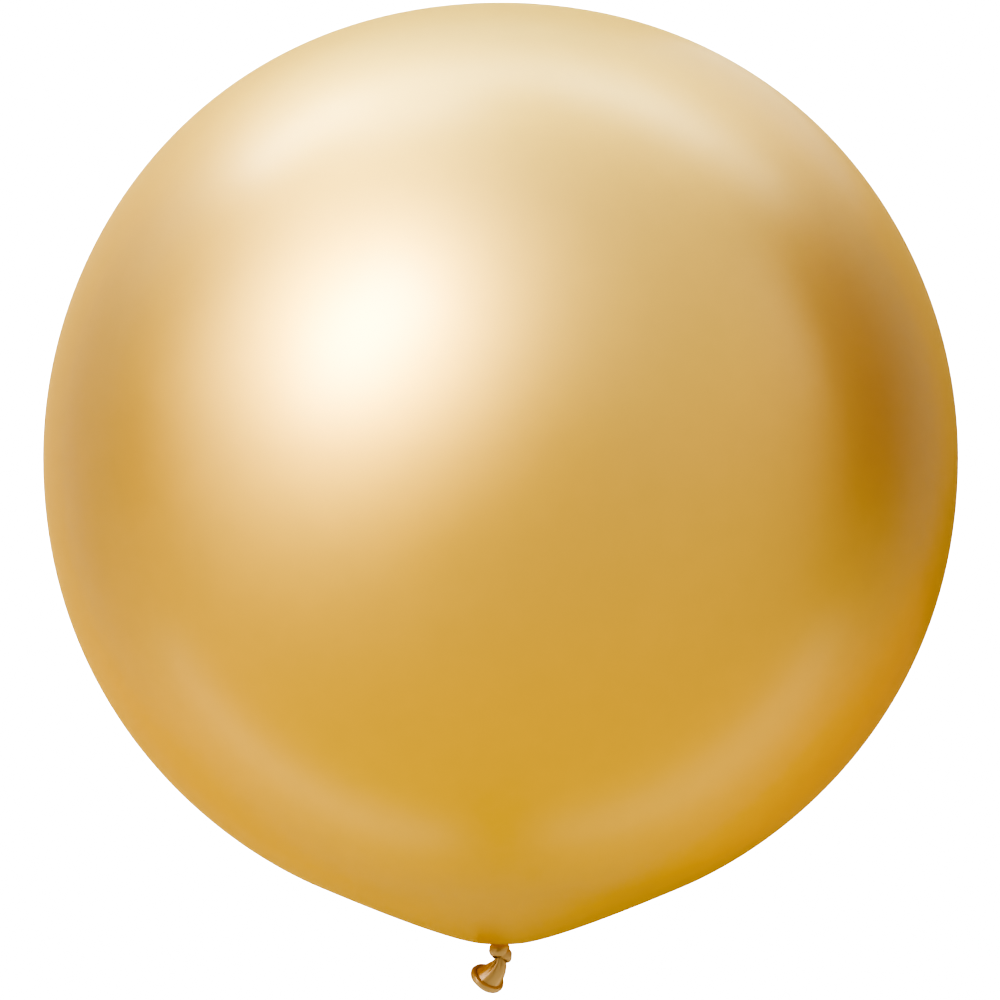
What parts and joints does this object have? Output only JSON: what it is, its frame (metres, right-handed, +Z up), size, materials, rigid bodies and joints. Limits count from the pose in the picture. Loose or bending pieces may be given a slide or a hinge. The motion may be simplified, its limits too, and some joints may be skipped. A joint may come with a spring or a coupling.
{
  "type": "chrome latex balloon",
  "caption": "Large round gold chrome latex balloon, blown up and tied in an overhand knot, with a pleated tail and a rolled lip, lying on its side.",
  "frame": {"origin": "centre of the pressed flat spot on the underside, on the floor, straight below the widest ring", "axes": "+Y along the balloon's own axis from the knot to the crown, +Z up from the floor, +X to the right when it is seen from above with the crown up"},
  "size_m": [0.6, 0.6502, 0.5976],
  "materials": {
    "chrome_latex": "metallic gold latex with a soft satin-mirror sheen, darker and browner where it is unstretched at the neck, knot and lip"
  },
  "bodies": {
    "root": {"balloon": "chrome_latex"}
  },
  "joints": []
}
